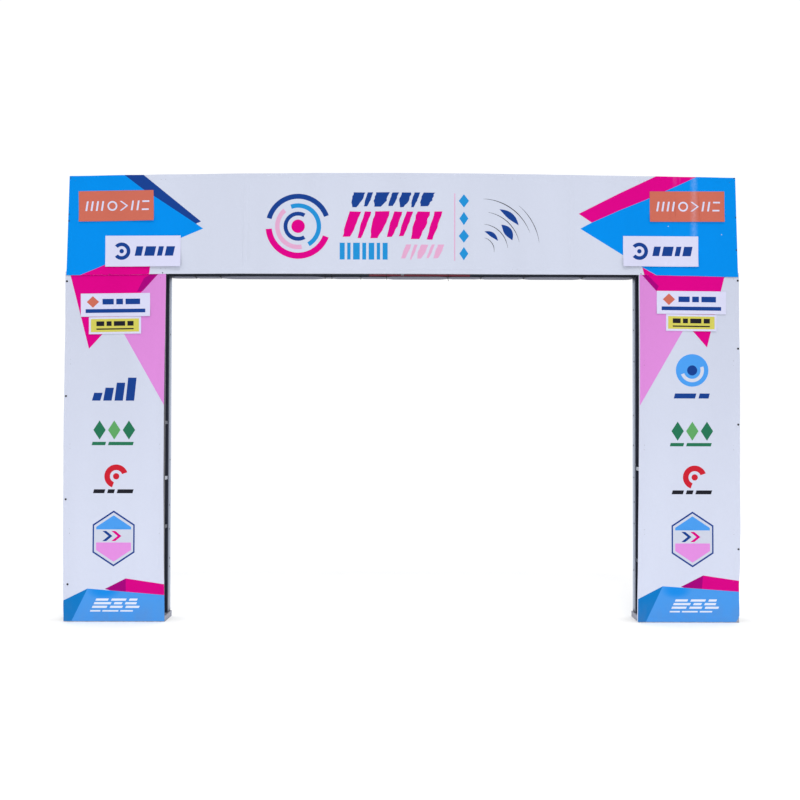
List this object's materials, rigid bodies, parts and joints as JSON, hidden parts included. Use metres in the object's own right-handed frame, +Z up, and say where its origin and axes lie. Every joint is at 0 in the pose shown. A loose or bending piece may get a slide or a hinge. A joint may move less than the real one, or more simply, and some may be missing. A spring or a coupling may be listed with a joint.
{
  "type": "advertising arch with printed banners on a tube frame",
  "caption": "Free-standing event arch: printed banners and patches stretched over welded square-tube legs and a beam, open for people to pass under.",
  "frame": {"origin": "centre of the arch's footprint, on the ground", "axes": "+X along the span, +Y away from the printed side, +Z up"},
  "size_m": [6.006, 0.3241, 3.99],
  "materials": {
    "steel_black": "black paint, worn",
    "steel_grey": "zinc-coated, speckled",
    "banner_print": "printed coated cloth, semi-matt",
    "banner_plain": "plain coated cloth, semi-matt",
    "patch_white": "coated cloth, semi-matt",
    "patch_orange": "coated cloth, semi-matt",
    "patch_yellow": "coated cloth, semi-matt",
    "screw_black": "black, satin",
    "tie_black": "matt"
  },
  "bodies": {
    "root": {"leg_left_front_frame": "steel_black", "leg_left_rear_frame": "steel_black", "foot_left": "steel_grey", "leg_left_front_banner": "banner_print", "leg_left_rear_banner": "banner_plain", "strut_leg_left_inner_1": "steel_grey", "strut_leg_left_outer_1": "steel_grey", "strut_leg_left_inner_2": "steel_grey", "strut_leg_left_outer_2": "steel_grey", "strut_leg_left_inner_3": "steel_grey", "strut_leg_left_outer_3": "steel_grey", "banner_screw_left_1": "screw_black", "banner_screw_left_2": "screw_black", "banner_screw_left_3": "screw_black", "banner_screw_left_4": "screw_black", "patch_beam_orange_left": "patch_orange", "patch_beam_white_left": "patch_white", "patch_leg_white_left": "patch_white", "patch_leg_yellow_left": "patch_yellow", "leg_right_front_frame": "steel_black", "leg_right_rear_frame": "steel_black", "foot_right": "steel_grey", "leg_right_front_banner": "banner_print", "leg_right_rear_banner": "banner_plain", "strut_leg_right_inner_1": "steel_grey", "strut_leg_right_outer_1": "steel_grey", "strut_leg_right_inner_2": "steel_grey", "strut_leg_right_outer_2": "steel_grey", "banner_screw_right_1": "screw_black", "banner_screw_right_2": "screw_black", "banner_screw_right_3": "screw_black", "banner_screw_right_4": "screw_black", "patch_beam_orange_right": "patch_orange", "patch_beam_white_right": "patch_white", "patch_leg_white_right": "patch_white", "patch_leg_yellow_right": "patch_yellow", "beam_front_frame": "steel_black", "beam_rear_frame": "steel_black", "beam_front_banner": "banner_print", "beam_rear_banner": "banner_plain", "beam_rear_flap": "banner_plain", "strut_beam_under_1": "steel_grey", "strut_beam_under_2": "steel_grey", "strut_beam_under_3": "steel_grey", "strut_beam_under_4": "steel_grey", "strut_beam_under_5": "steel_grey", "strut_beam_top_1": "steel_grey", "strut_beam_top_2": "steel_grey", "strut_beam_top_3": "steel_grey", "strut_beam_top_4": "steel_grey", "cable_tie_1": "tie_black", "cable_tie_2": "tie_black", "cable_tie_3": "tie_black", "cable_tie_4": "tie_black", "cable_tie_5": "tie_black", "cable_tie_6": "tie_black", "cable_tie_7": "tie_black", "cable_tie_8": "tie_black", "cable_tie_9": "tie_black", "cable_tie_10": "tie_black"}
  },
  "joints": []
}
